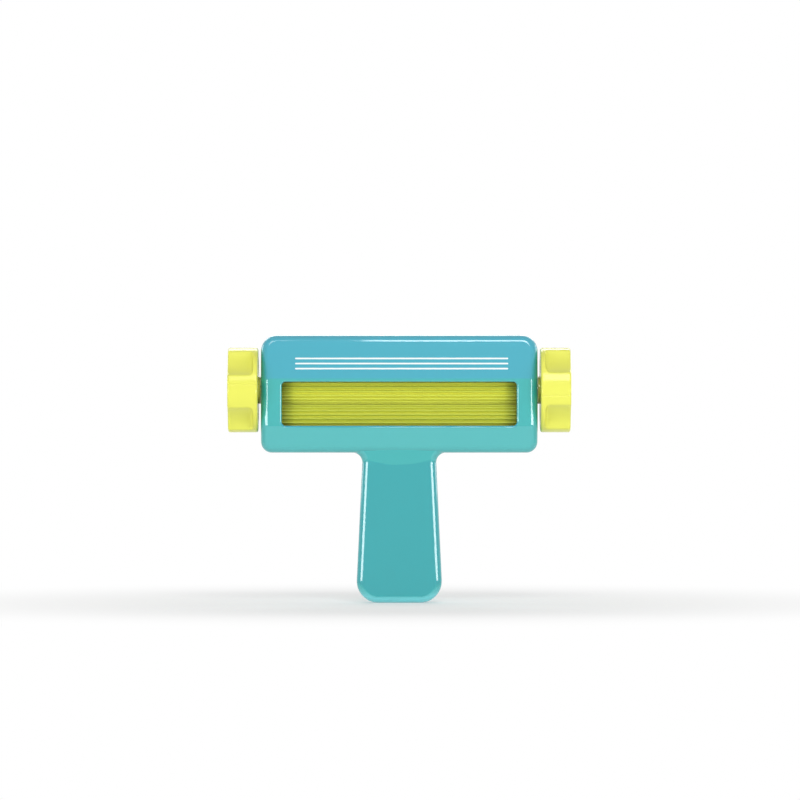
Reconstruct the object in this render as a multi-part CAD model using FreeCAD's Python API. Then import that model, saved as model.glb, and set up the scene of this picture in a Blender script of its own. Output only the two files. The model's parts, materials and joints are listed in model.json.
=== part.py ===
"""A hand-held paper crimper.

A T-shaped plastic body carries two fluted rollers that mesh like gears.
Turning either knob turns the upper roller, which turns the lower one, and
paper fed through the window between them comes out corrugated.

Frame: the crimper stands on the flat butt of its handle.
The origin is the middle of that butt, +Z is up, the rollers lie along X,
the front looks towards -Y, and the two body shells meet in the plane Y = 0.
All sizes are millimetres.
"""
import FreeCAD
import Part
import math
import os

# ---------------------------------------------------------------- head of the body
HEAD_WIDTH = 150.0
HEAD_HEIGHT = 63.8
HEAD_DEPTH = 30.0
HEAD_BOTTOM = 81.5
HEAD_TOP_CORNER = 8.5
HEAD_LOW_CORNER = 6.0
HEAD_RIM = 4.5
WALL = 2.2
BAND_ABOVE_WINDOW = 1.7
BAND_CREASE = 5.0
UPPER_SLOPE = 10.0
LOWER_SLOPE = 10.0

# ---------------------------------------------------------------- window
WINDOW_FROM_END = 11.4
WINDOW_SILL = 14.7
WINDOW_HEIGHT = 23.7
WINDOW_CORNER = 2.0
WINDOW_MOUTH = 1.1
LIP_THICKNESS = 1.5
LIP_TO_ROLLER = 1.0

# ---------------------------------------------------------------- handle
HANDLE_BUTT_WIDTH = 47.4
HANDLE_NECK_WIDTH = 39.7
HANDLE_DEPTH = 22.0
HANDLE_CORNER = 11.8
HANDLE_RIM = 4.0
NECK_FILLET = 5.3
RAMP_ARC = 56.0
RAMP_FOOT_BELOW_HEAD = 7.0
RAMP_SLOPE = 7.2
RAMP_RISE = 2.2
NECK_OVERLAP = 7.0
RAMP_FOOT_CURVE = 8.0

# ---------------------------------------------------------------- rollers and their shafts
NIP_ABOVE_SILL = 11.7
PITCH_RADIUS = 7.6
FLUTES = 22
FLUTE_ADDENDUM = 0.60
FLUTE_DEDENDUM = 0.80
CREST_BELOW_FRONT = 5.5
CREST_ARC = 0.36
VALLEY_ARC = 0.54
DRIVE_SHAFT_RADIUS = 3.0
IDLER_SHAFT_RADIUS = 2.5
SHAFT_CHAMFER = 0.4
IDLER_END_GAP = 0.5

# ---------------------------------------------------------------- side frames and bearings
FRAME_TO_WALL = 2.8
FRAME_THICKNESS = 4.0
FRAME_ABOVE_SHAFT = 9.5
FRAME_CORNER = 3.0
ROLLER_TO_FRAME = 1.5
SLOT_HALF_WIDTH = 4.05
BUSH_RADIUS = 5.5
BUSH_FLANGE_RADIUS = 7.0
BUSH_FLANGE = 1.0
BUSH_TAIL = 1.5
BLOCK_HALF_HEIGHT = 5.0
BLOCK_FLANGE = 1.1
BLOCK_FLANGE_HALF_WIDTH = 6.2
HOLDER_HALF_HEIGHT = 3.0
HOLDER_WALL = 1.2
HOLDER_GRIP = 1.6
HOLDER_BELOW_IDLER = 1.0
HOLDER_ABOVE_DRIVE = 1.5

# ---------------------------------------------------------------- pressure springs
SPRING_LENGTH = 5.4
SPRING_RADIUS = 2.15
SPRING_WIRE = 0.35
SPRING_TURNS = 4.0
SEAT_PEG_RADIUS = 1.4
SEAT_PEG_HEIGHT = 2.0

# ---------------------------------------------------------------- knobs
KNOB_RADIUS = 23.0
KNOB_WIDTH = 16.35
KNOB_GAP = 1.6
KNOB_LOBES = 4
LOBE_HALF_ANGLE = 22.5
LOBE_ABOVE_FRONT = 2.0
SCOOP_DEPTH = 2.0
SCOOP_END_ROUND = 2.5
KNOB_FLANGE = 2.4
KNOB_INNER_RIM = 1.2
KNOB_OUTER_RIM = 1.0
KNOB_HUB_RADIUS = 7.5
CAP_RADIUS = 13.0
CAP_THICKNESS = 2.1
CAP_INSET = 0.2
CAP_SNAP = 1.6
CAP_SNAP_WALL = 1.2
WELL_RADIUS = 6.5
WELL_FLOOR = 6.3
POCKET_RADIUS = 4.2
POCKET_CIRCLE = 13.0
POCKET_DEPTH = 11.0
D_FLAT_DEPTH = 0.7
D_SETBACK = 0.5
SHAFT_BELOW_WASHER = 0.2

# ---------------------------------------------------------------- screws
KNOB_SCREW_RADIUS = 1.5
KNOB_SCREW_HEAD = 2.75
KNOB_SCREW_LENGTH = 9.0
WASHER_RADIUS = 5.0
WASHER_THICKNESS = 0.8
BODY_SCREW_RADIUS = 1.3
BODY_SCREW_HEAD = 2.4
BODY_SCREW_SEAT = 5.0
BODY_SCREW_REACH = 7.5
SCREW_HOLE_SPARE = 0.5
SCREW_HEAD_HEIGHT = 1.9
CROSS_SLOT = 0.7
CROSS_DEPTH = 1.0
CROSS_REACH = 0.6
BOSS_RADIUS = 3.0
CUP_RADIUS = 3.9
CUP_START = 3.5
UPPER_SCREW_FROM_END = 19.0
UPPER_SCREW_DROP = 9.5
LOWER_SCREW_FROM_END = 30.0
BOSS_BITE = 0.3
HANDLE_SCREW_HEIGHTS = (17.0, 60.0)

# ---------------------------------------------------------------- ribs and clearances
RIB_THICKNESS = 1.3
RIB_DEPTH = 6.0
RIB_ABOVE_BAND = 2.0
HEAD_RIBS = 4
HEAD_RIB_SPACING = 24.0
HANDLE_RIBS_Z = (31.0, 46.0)
SEAM_WIDTH = 0.4
SEAM_DEPTH = 0.35
RUNNING_FIT = 0.05
PRESS_FIT = 0.02
SLIDE_FIT = 0.1
SHAFT_HOLE_GAP = 0.6
RUN_CLEARANCE = 0.3

# ---------------------------------------------------------------- worked out from the above
WINDOW_BOTTOM = HEAD_BOTTOM + WINDOW_SILL
WINDOW_HALF_WIDTH = HEAD_WIDTH / 2 - WINDOW_FROM_END
BAND_BOTTOM = WINDOW_BOTTOM
BAND_TOP = WINDOW_BOTTOM + WINDOW_HEIGHT + BAND_ABOVE_WINDOW
HEAD_TOP = HEAD_BOTTOM + HEAD_HEIGHT
HEAD_END = HEAD_WIDTH / 2
HEAD_HALF_DEPTH = HEAD_DEPTH / 2
RAMP_FOOT = HEAD_BOTTOM - RAMP_FOOT_BELOW_HEAD
NIP_HEIGHT = WINDOW_BOTTOM + NIP_ABOVE_SILL
DRIVE_Z = NIP_HEIGHT + PITCH_RADIUS
IDLER_Z = NIP_HEIGHT - PITCH_RADIUS
CREST_RADIUS = PITCH_RADIUS + FLUTE_ADDENDUM
ROOT_RADIUS = PITCH_RADIUS - FLUTE_DEDENDUM
FRAME_OUT = HEAD_END - WALL - FRAME_TO_WALL
FRAME_IN = FRAME_OUT - FRAME_THICKNESS
ROLLER_END = FRAME_IN - ROLLER_TO_FRAME
FRAME_BOTTOM = HEAD_BOTTOM + WALL + RUN_CLEARANCE
FRAME_TOP = DRIVE_Z + FRAME_ABOVE_SHAFT
LOWER_SET_BACK = math.tan(math.radians(LOWER_SLOPE)) * (BAND_BOTTOM - FRAME_BOTTOM)
FRAME_HALF_DEPTH = HEAD_HALF_DEPTH - WALL - LOWER_SET_BACK - RUN_CLEARANCE
SLOT_TOP = IDLER_Z + BLOCK_HALF_HEIGHT + RUNNING_FIT
LIP_DEPTH = CREST_RADIUS + LIP_TO_ROLLER
KNOB_IN = HEAD_END + KNOB_GAP
KNOB_OUT = KNOB_IN + KNOB_WIDTH
WELL_X = KNOB_OUT - WELL_FLOOR
CAP_OUT = KNOB_OUT - CAP_INSET
CAP_IN = CAP_OUT - CAP_THICKNESS
D_START = KNOB_IN + D_SETBACK
SPRING_FOOT = IDLER_Z - BLOCK_HALF_HEIGHT - SPRING_LENGTH
SPRING_X = (FRAME_IN + FRAME_OUT) / 2
OUTWARD = FreeCAD.Vector(1, 0, 0)

# ---------------------------------------------------------------- for the modelling itself
OVERRUN = 1.0
TOUCH = 0.01
SAME_POINT = 1e-6
LOOKS_ALONG = 0.8
STANDS_ALONG = 0.2


def vec(x, y, z):
    return FreeCAD.Vector(x, y, z)


def box(x_low, x_high, y_low, y_high, z_low, z_high):
    """A block between two opposite corners."""
    corner = vec(x_low, y_low, z_low)
    return Part.makeBox(x_high - x_low, y_high - y_low, z_high - z_low, corner)


def rod(radius, x_low, x_high, z, y=0.0):
    """A cylinder along X."""
    return Part.makeCylinder(radius, x_high - x_low, vec(x_low, y, z), OUTWARD)


def peg(radius, y_low, y_high, x, z):
    """A cylinder along Y."""
    return Part.makeCylinder(radius, y_high - y_low, vec(x, y_low, z), vec(0, 1, 0))


def rounded_wire(corners, place):
    """A closed wire through corners (u, w, radius); place puts (u, w) into space."""
    runs = []
    for index, (u, w, radius) in enumerate(corners):
        before = corners[index - 1]
        after = corners[(index + 1) % len(corners)]
        corner = vec(u, w, 0)
        if radius <= 0:
            runs.append((corner, corner, corner))
            continue
        back = (vec(before[0], before[1], 0) - corner).normalize()
        ahead = (vec(after[0], after[1], 0) - corner).normalize()
        half = back.getAngle(ahead) / 2
        inward = (back + ahead).normalize()
        middle = corner + inward * (radius / math.sin(half) - radius)
        tangent = radius / math.tan(half)
        runs.append((corner + back * tangent, middle, corner + ahead * tangent))
    edges = []
    for index, (start, middle, end) in enumerate(runs):
        following = runs[(index + 1) % len(runs)][0]
        if start.distanceToPoint(end) > SAME_POINT:
            edges.append(Part.Arc(place(start), place(middle), place(end)).toShape())
        if end.distanceToPoint(following) > SAME_POINT:
            edges.append(Part.LineSegment(place(end), place(following)).toShape())
    return Part.Wire(edges)


def mirrored(corners):
    """A right-hand row of corners (u, w, radius), closed with its mirror image on the left."""
    return corners + [(-u, w, radius) for u, w, radius in reversed(corners)]


def prism_along_y(corners, y_low, y_high):
    """An outline drawn in X and Z, drawn out along Y."""
    wire = rounded_wire(corners, lambda p: vec(p.x, y_low, p.y))
    return Part.Face(wire).extrude(vec(0, y_high - y_low, 0))


def prism_along_x(corners, x_low, x_high):
    """An outline drawn in Y and Z, drawn out along X."""
    wire = rounded_wire(corners, lambda p: vec(x_low, p.x, p.y))
    return Part.Face(wire).extrude(vec(x_high - x_low, 0, 0))


def rim_edges(solid, axis, wanted):
    """Edges between a face that looks along the axis and a wall that stands along it."""
    found = []
    for edge in solid.Edges:
        faces = solid.ancestorsOfType(edge, Part.Face)
        point = edge.valueAt((edge.FirstParameter + edge.LastParameter) / 2)
        if len(faces) != 2 or not wanted(point):
            continue
        slants = [abs(face.normalAt(*face.Surface.parameter(point)).dot(axis)) for face in faces]
        if max(slants) > LOOKS_ALONG and min(slants) < STANDS_ALONG:
            found.append(edge)
    return found


# ================================================================ outer form of the body
def head_form(inset):
    """The head, with every face moved inwards by the inset."""
    end = HEAD_END - inset
    low = HEAD_BOTTOM + inset
    high = HEAD_TOP - inset
    half = HEAD_HALF_DEPTH - inset
    top_half = half - math.tan(math.radians(UPPER_SLOPE)) * (high - BAND_TOP)
    low_half = half - math.tan(math.radians(LOWER_SLOPE)) * (BAND_BOTTOM - low)
    low_corner = HEAD_LOW_CORNER - inset
    top_corner = HEAD_TOP_CORNER - inset
    outline = mirrored([(end, low, low_corner), (end, high, top_corner)])
    profile = mirrored([
        (low_half, low, 0),
        (half, BAND_BOTTOM, BAND_CREASE),
        (half, BAND_TOP, BAND_CREASE),
        (top_half, high, 0),
    ])
    sloped = prism_along_x(profile, -end - OVERRUN, end + OVERRUN)
    solid = prism_along_y(outline, -half, half).common(sloped)
    return solid.makeFillet(HEAD_RIM - inset, rim_edges(solid, vec(0, 1, 0), lambda point: True))


def handle_half_width(height, inset):
    taper = (HANDLE_BUTT_WIDTH - HANDLE_NECK_WIDTH) / 2 / HEAD_BOTTOM
    return HANDLE_BUTT_WIDTH / 2 - inset - taper * height


def neck_corners(inset):
    """The right-hand corners where the handle flares out into the head, from below upwards."""
    low = HEAD_BOTTOM + inset
    side = handle_half_width(low, inset)
    radius = NECK_FILLET + inset
    lean = math.atan((HANDLE_BUTT_WIDTH - HANDLE_NECK_WIDTH) / 2 / HEAD_BOTTOM)
    flare = side + radius / math.tan((math.pi / 2 - lean) / 2)
    return [(side, low, radius), (flare, low, 0), (flare, low + NECK_OVERLAP, 0)]


def handle_front_cutter(inset):
    """What is taken off the front of the handle's block.

    It is turned about an axis along Y, so the flat grip ends in a shallow arc,
    from which a ramp climbs to the head.
    """
    flat = HANDLE_DEPTH / 2 - inset
    top = flat + RAMP_RISE
    centre_z = RAMP_FOOT + RAMP_ARC
    slope = math.radians(RAMP_SLOPE)

    def at(radius, depth):
        return vec(0, -depth, centre_z - radius)

    def on_foot(angle):
        climbed = RAMP_FOOT_CURVE * (1 - math.cos(angle))
        return at(RAMP_ARC - RAMP_FOOT_CURVE * math.sin(angle), flat + climbed)

    foot = at(RAMP_ARC, flat)
    ramp_start = on_foot(slope)
    ramp_length = (top + ramp_start.y) / math.tan(slope)
    ramp_end = vec(0, -top, ramp_start.z + ramp_length)
    wide = at(centre_z + OVERRUN, flat)
    outside = [ramp_end, vec(0, -HEAD_DEPTH, ramp_end.z), vec(0, -HEAD_DEPTH, wide.z), wide, foot]
    edges = [Part.Arc(foot, on_foot(slope / 2), ramp_start).toShape()]
    for start, end in zip([ramp_start] + outside, outside):
        edges.append(Part.LineSegment(start, end).toShape())
    return Part.Face(Part.Wire(edges)).revolve(vec(0, 0, centre_z), vec(0, 1, 0), 360)


def handle_form(inset):
    """The handle and its flared neck, with a ramp on each face that climbs to the head."""
    flat = HANDLE_DEPTH / 2 - inset
    top = flat + RAMP_RISE
    butt = (handle_half_width(inset, inset), inset, HANDLE_CORNER - inset)
    block = prism_along_y(mirrored([butt] + neck_corners(inset)), -top, top)
    front_cutter = handle_front_cutter(inset)
    back_cutter = front_cutter.mirror(vec(0, 0, 0), vec(0, 1, 0))
    solid = block.cut([front_cutter, back_cutter])
    neck_end = HEAD_BOTTOM + inset - TOUCH

    def on_a_face(point):
        return point.z < neck_end and abs(point.y) > flat - TOUCH

    return solid.makeFillet(HANDLE_RIM - inset, rim_edges(solid, vec(0, 1, 0), on_a_face))


def body_form(inset):
    """The whole T-shaped body as one block, with every face moved inwards by the inset."""
    return head_form(inset).fuse(handle_form(inset)).removeSplitter()


# ================================================================ the two shells
def window_corners(grow):
    """The window's outline, made larger all round."""
    half = WINDOW_HALF_WIDTH + grow
    low = WINDOW_BOTTOM - grow
    high = WINDOW_BOTTOM + WINDOW_HEIGHT + grow
    radius = WINDOW_CORNER + grow
    return mirrored([(half, low, radius), (half, high, radius)])


def on_window_mouth(point):
    """Whether a point lies on the outer edge of a window, front or back."""
    across = abs(point.x) < WINDOW_HALF_WIDTH + TOUCH
    upright = WINDOW_BOTTOM - TOUCH < point.z < WINDOW_BOTTOM + WINDOW_HEIGHT + TOUCH
    return across and upright and abs(point.y) > HEAD_HALF_DEPTH - TOUCH


def hollow_body():
    """The body with its wall, its two windows and the lips around them, both halves together."""
    outer = body_form(0)
    outer = outer.cut(prism_along_y(window_corners(0), -HEAD_DEPTH, HEAD_DEPTH))
    mouth = rim_edges(outer, vec(0, 1, 0), on_window_mouth)
    outer = outer.makeFillet(WINDOW_MOUTH, mouth)
    shell = outer.cut(body_form(WALL))
    inside_wall = HEAD_HALF_DEPTH - (WALL + WINDOW_MOUTH) / 2
    lip = prism_along_y(window_corners(LIP_THICKNESS), LIP_DEPTH, inside_wall)
    lip = lip.cut(prism_along_y(window_corners(0), 0, HEAD_DEPTH))
    return shell.fuse([lip, lip.mirror(vec(0, 0, 0), vec(0, 1, 0))])


def screw_places():
    """X and Z of each screw that holds the shells together: first the head's, then the handle's."""
    upper = HEAD_TOP - UPPER_SCREW_DROP
    upper_x = HEAD_END - UPPER_SCREW_FROM_END
    lower_x = HEAD_END - LOWER_SCREW_FROM_END
    lower = HEAD_BOTTOM + WALL + BOSS_RADIUS - BOSS_BITE
    head = [(-upper_x, upper), (upper_x, upper), (-lower_x, lower), (lower_x, lower)]
    handle = [(0.0, height) for height in HANDLE_SCREW_HEIGHTS]
    return head, handle


def frame_holders():
    """Slotted blocks on the front shell's inner wall that hold the edges of the side frames."""
    holders = []
    for side in (-1, 1):
        for middle in (IDLER_Z - HOLDER_BELOW_IDLER, DRIVE_Z + HOLDER_ABOVE_DRIVE):
            low = middle - HOLDER_HALF_HEIGHT
            high = middle + HOLDER_HALF_HEIGHT
            near = side * (FRAME_IN - HOLDER_WALL)
            far = side * (FRAME_OUT + HOLDER_WALL)
            tip = HOLDER_GRIP - FRAME_HALF_DEPTH
            block = box(min(near, far), max(near, far), -HEAD_HALF_DEPTH, tip, low, high)
            near = side * (FRAME_IN - RUNNING_FIT)
            far = side * (FRAME_OUT + RUNNING_FIT)
            floor = -FRAME_HALF_DEPTH - RUNNING_FIT
            slot = box(min(near, far), max(near, far), floor, 0, low - OVERRUN, high + OVERRUN)
            holders.append(block.cut(slot))
    return holders


def stiffening_ribs():
    """Upright ribs above the window and cross ribs in the handle, on the front shell."""
    ribs = []
    half = RIB_THICKNESS / 2
    rib_low = BAND_TOP + RIB_ABOVE_BAND
    for index in range(HEAD_RIBS):
        x = HEAD_RIB_SPACING * (index - (HEAD_RIBS - 1) / 2)
        ribs.append(box(x - half, x + half, -HEAD_HALF_DEPTH, -RIB_DEPTH, rib_low, HEAD_TOP))
    reach = HANDLE_BUTT_WIDTH / 2
    for z in HANDLE_RIBS_Z:
        ribs.append(box(-reach, reach, -HEAD_HALF_DEPTH, -RIB_DEPTH, z - half, z + half))
    return ribs


def shells():
    """The front and back shells, which meet in the plane Y = 0."""
    body = hollow_body()
    skin_middle = body_form(WALL / 2)

    def slab(y_low, y_high):
        return box(-HEAD_WIDTH, HEAD_WIDTH, y_low, y_high, -OVERRUN, HEAD_TOP + OVERRUN)

    seam = slab(-SEAM_WIDTH / 2, SEAM_WIDTH / 2).cut(body_form(SEAM_DEPTH))
    shaft_hole = rod(DRIVE_SHAFT_RADIUS + SHAFT_HOLE_GAP, -HEAD_WIDTH, HEAD_WIDTH, DRIVE_Z)
    clear_of_holes = [seam, shaft_hole]
    head_places, handle_places = screw_places()
    places = head_places + handle_places

    inner_parts = frame_holders() + stiffening_ribs()
    posts = [peg(BOSS_RADIUS, -HEAD_DEPTH, 0, x, z) for x, z in places]
    inner = posts[0].fuse(posts[1:] + inner_parts).common(skin_middle)
    pilot_end = -BODY_SCREW_REACH - SCREW_HOLE_SPARE
    pilots = [peg(BODY_SCREW_RADIUS + PRESS_FIT, pilot_end, OVERRUN, x, z) for x, z in places]
    front = body.common(slab(-HEAD_DEPTH, 0)).fuse(inner)
    front = front.cut(clear_of_holes + pilots).removeSplitter()

    inner_parts = [part.mirror(vec(0, 0, 0), vec(0, 1, 0)) for part in inner_parts]
    posts = [peg(BOSS_RADIUS, 0, HEAD_DEPTH, x, z) for x, z in places]
    cups = [peg(CUP_RADIUS, CUP_START, HEAD_DEPTH, x, z) for x, z in places]
    inner = posts[0].fuse(posts[1:] + cups + inner_parts).common(skin_middle)
    holes = [peg(BODY_SCREW_RADIUS + SLIDE_FIT, -OVERRUN, HEAD_DEPTH, x, z) for x, z in places]
    holes += [peg(BODY_SCREW_HEAD + SLIDE_FIT, BODY_SCREW_SEAT, HEAD_DEPTH, x, z) for x, z in places]
    back = body.common(slab(0, HEAD_DEPTH)).fuse(inner)
    back = back.cut(clear_of_holes + holes).removeSplitter()
    return front, back


# ================================================================ rollers and shafts
def fluted_face(z, first_crest):
    """The section of a roller: round crests and valleys joined by straight flanks."""
    step = 2 * math.pi / FLUTES

    def at(radius, angle):
        return vec(0, radius * math.cos(angle), z + radius * math.sin(angle))

    edges = []
    for index in range(FLUTES):
        crest = first_crest + index * step
        crest_centre = at(CREST_RADIUS - CREST_ARC, crest)
        flanks = []
        for side in (-1, 1):
            valley_centre = at(ROOT_RADIUS + VALLEY_ARC, crest + side * step / 2)
            across = valley_centre - crest_centre
            turn = math.acos((CREST_ARC + VALLEY_ARC) / across.Length)
            heading = math.atan2(across.z, across.y) - side * turn
            normal = vec(0, math.cos(heading), math.sin(heading))
            flanks.append((crest_centre + normal * CREST_ARC, valley_centre - normal * VALLEY_ARC))
        (crest_in, valley_in), (crest_out, valley_out) = flanks
        next_valley_end = at(ROOT_RADIUS, crest + step / 2)
        rotate = FreeCAD.Rotation(OUTWARD, math.degrees(step))
        axis_point = vec(0, 0, z)
        following = axis_point + rotate.multVec(valley_in - axis_point)
        edges.append(Part.LineSegment(valley_in, crest_in).toShape())
        edges.append(Part.Arc(crest_in, at(CREST_RADIUS, crest), crest_out).toShape())
        edges.append(Part.LineSegment(crest_out, valley_out).toShape())
        edges.append(Part.Arc(valley_out, next_valley_end, following).toShape())
    return Part.Face(Part.Wire(edges))


def meshing_crest(drive_crest):
    """Where a crest of the lower roller lies, so that crests meet valleys at the nip."""
    step = 2 * math.pi / FLUTES
    from_nip = (1.5 * math.pi - drive_crest) % step
    return math.pi / 2 + from_nip + step / 2


def roller(z, shaft_radius, first_crest):
    face = fluted_face(z, first_crest)
    face.translate(vec(-ROLLER_END, 0, 0))
    solid = face.extrude(vec(2 * ROLLER_END, 0, 0))
    return solid.cut(rod(shaft_radius + PRESS_FIT, -HEAD_WIDTH, HEAD_WIDTH, z))


def end_chamfered(solid, size, x):
    rings = [edge for edge in solid.Edges if edge.Closed]
    return solid.makeChamfer(size, [edge for edge in rings if abs(abs(edge.CenterOfMass.x) - x) < TOUCH])


def d_cutter(x_low, x_high, allowance):
    """What is taken off a round shaft, or left in a round bore, to make its D."""
    flat = DRIVE_Z + DRIVE_SHAFT_RADIUS - D_FLAT_DEPTH + allowance
    return box(x_low, x_high, -HEAD_DEPTH, HEAD_DEPTH, flat, flat + HEAD_DEPTH)


def drive_shaft():
    """Round in its bushes, D-shaped in the knobs, with a screw hole in each end."""
    end = WELL_X - SHAFT_BELOW_WASHER
    solid = end_chamfered(rod(DRIVE_SHAFT_RADIUS, -end, end, DRIVE_Z), SHAFT_CHAMFER, end)
    depth = KNOB_SCREW_LENGTH + SCREW_HOLE_SPARE
    for side in (-1, 1):
        x_low, x_high = sorted((side * D_START, side * (end + OVERRUN)))
        solid = solid.cut(d_cutter(x_low, x_high, 0))
        x_low, x_high = sorted((side * (end - depth), side * (end + OVERRUN)))
        solid = solid.cut(rod(KNOB_SCREW_RADIUS + PRESS_FIT, x_low, x_high, DRIVE_Z))
    return solid


def idler_shaft():
    end = HEAD_END - WALL - IDLER_END_GAP
    return end_chamfered(rod(IDLER_SHAFT_RADIUS, -end, end, IDLER_Z), SHAFT_CHAMFER, end)


# ================================================================ right-hand end pieces
def side_frame():
    """The plate that holds both rollers' bearings; its slot is open at the bottom."""
    corners = [(FRAME_HALF_DEPTH, height, FRAME_CORNER) for height in (FRAME_BOTTOM, FRAME_TOP)]
    plate = prism_along_x(mirrored(corners), FRAME_IN, FRAME_OUT)
    half = SLOT_HALF_WIDTH
    slot = box(0, HEAD_WIDTH, -half, half, FRAME_BOTTOM - OVERRUN, SLOT_TOP)
    bore = rod(BUSH_RADIUS + PRESS_FIT, 0, HEAD_WIDTH, DRIVE_Z)
    return plate.cut([slot, bore])


def drive_bush():
    sleeve = rod(BUSH_RADIUS, FRAME_IN, FRAME_OUT + BUSH_TAIL, DRIVE_Z)
    flange = rod(BUSH_FLANGE_RADIUS, FRAME_IN - BUSH_FLANGE, FRAME_IN, DRIVE_Z)
    bore = rod(DRIVE_SHAFT_RADIUS + RUNNING_FIT, 0, HEAD_WIDTH, DRIVE_Z)
    return sleeve.fuse(flange).removeSplitter().cut(bore)


def slot_rider(z_low, z_high):
    """A block that rides in the side frame's slot, with a flange on each side of the plate."""
    half = SLOT_HALF_WIDTH - SLIDE_FIT
    near = FRAME_IN - SLIDE_FIT
    far = FRAME_OUT + SLIDE_FIT
    wide = BLOCK_FLANGE_HALF_WIDTH
    core = box(near - BLOCK_FLANGE, far + BLOCK_FLANGE, -half, half, z_low, z_high)
    inner = box(near - BLOCK_FLANGE, near, -wide, wide, z_low, z_high)
    outer = box(far, far + BLOCK_FLANGE, -wide, wide, z_low, z_high)
    return core.fuse([inner, outer]).removeSplitter()


def idler_block():
    block = slot_rider(IDLER_Z - BLOCK_HALF_HEIGHT, IDLER_Z + BLOCK_HALF_HEIGHT)
    return block.cut(rod(IDLER_SHAFT_RADIUS + RUNNING_FIT, 0, HEAD_WIDTH, IDLER_Z))


def spring_seat():
    """The foot of the spring: it stands on the head's floor and keeps the spring on its peg."""
    seat = slot_rider(HEAD_BOTTOM + WALL, SPRING_FOOT).common(body_form(WALL + RUNNING_FIT))
    pin_foot = vec(SPRING_X, 0, SPRING_FOOT - OVERRUN)
    pin = Part.makeCylinder(SEAT_PEG_RADIUS, SEAT_PEG_HEIGHT + OVERRUN, pin_foot)
    return seat.fuse(pin).removeSplitter()


def pressure_spring():
    """A round wire wound round the seat's peg, with both ends ground flat."""
    pitch = SPRING_LENGTH / SPRING_TURNS
    path = Part.Wire(Part.makeHelix(pitch, SPRING_LENGTH, SPRING_RADIUS))
    along = vec(0, 1, pitch / (2 * math.pi * SPRING_RADIUS))
    section = Part.Wire(Part.makeCircle(SPRING_WIRE, vec(SPRING_RADIUS, 0, 0), along))
    wire = path.makePipeShell([section], True, True)
    reach = 2 * SPRING_RADIUS
    spring = wire.common(box(-reach, reach, -reach, reach, 0, SPRING_LENGTH))
    spring.translate(vec(SPRING_X, 0, SPRING_FOOT))
    return spring


def round_the_knob(first, radius):
    """(y, z) of a point in each of the knob's lobes, or between them, counted from the first."""
    angles = [first + index * 2 * math.pi / KNOB_LOBES for index in range(KNOB_LOBES)]
    return [(radius * math.cos(angle), DRIVE_Z + radius * math.sin(angle)) for angle in angles]


def scoop_cutters(front_lobe):
    """Barrels that scoop out the grip between its lobes; each stops round before the flange."""
    half_step = math.pi / KNOB_LOBES
    half_angle = half_step - math.radians(LOBE_HALF_ANGLE)
    half_chord = KNOB_RADIUS * math.sin(half_angle)
    radius = (half_chord ** 2 + SCOOP_DEPTH ** 2) / (2 * SCOOP_DEPTH)
    centre = KNOB_RADIUS * math.cos(half_angle) - SCOOP_DEPTH + radius
    start = KNOB_IN + KNOB_FLANGE
    barrels = []
    for y, z in round_the_knob(front_lobe + half_step, centre):
        barrel = rod(radius, start, KNOB_OUT + OVERRUN, z, y)
        inner_end = [edge for edge in barrel.Edges if abs(edge.CenterOfMass.x - start) < TOUCH]
        barrels.append(barrel.makeFillet(SCOOP_END_ROUND, inner_end))
    return barrels


def knob():
    """A lobed knob: hub and flange towards the head, D bore, cored lobes, recess for its cap."""
    front_lobe = math.pi - math.radians(LOBE_ABOVE_FRONT)
    grip = rod(KNOB_RADIUS, KNOB_IN, KNOB_OUT, DRIVE_Z).cut(scoop_cutters(front_lobe))
    for x, size in ((KNOB_IN, KNOB_INNER_RIM), (KNOB_OUT, KNOB_OUTER_RIM)):
        rim = [edge for edge in grip.Edges if abs(edge.CenterOfMass.x - x) < TOUCH]
        grip = grip.makeChamfer(size, rim)
    hub = rod(KNOB_HUB_RADIUS, HEAD_END + RUN_CLEARANCE, KNOB_IN, DRIVE_Z)
    bore = rod(DRIVE_SHAFT_RADIUS + PRESS_FIT, HEAD_END, KNOB_OUT, DRIVE_Z)
    bore = bore.cut(d_cutter(D_START, KNOB_OUT, PRESS_FIT))
    well = rod(WELL_RADIUS, WELL_X, KNOB_OUT, DRIVE_Z)
    recess = rod(CAP_RADIUS + SLIDE_FIT, CAP_IN, KNOB_OUT + OVERRUN, DRIVE_Z)
    cut_out = [bore, well, recess]
    for y, z in round_the_knob(front_lobe, POCKET_CIRCLE):
        cut_out.append(rod(POCKET_RADIUS, KNOB_IN - OVERRUN, KNOB_IN + POCKET_DEPTH, z, y))
    return grip.fuse(hub).cut(cut_out).removeSplitter()


def knob_cap():
    """A disc that fills the knob's recess, with a snap ring behind it."""
    disc = end_chamfered(rod(CAP_RADIUS, CAP_IN, CAP_OUT, DRIVE_Z), SHAFT_CHAMFER, CAP_OUT)
    ring = rod(WELL_RADIUS - RUNNING_FIT, CAP_IN - CAP_SNAP, CAP_IN, DRIVE_Z)
    ring = ring.cut(rod(WELL_RADIUS - CAP_SNAP_WALL, KNOB_IN, CAP_IN, DRIVE_Z))
    return disc.fuse(ring).removeSplitter()


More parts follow.
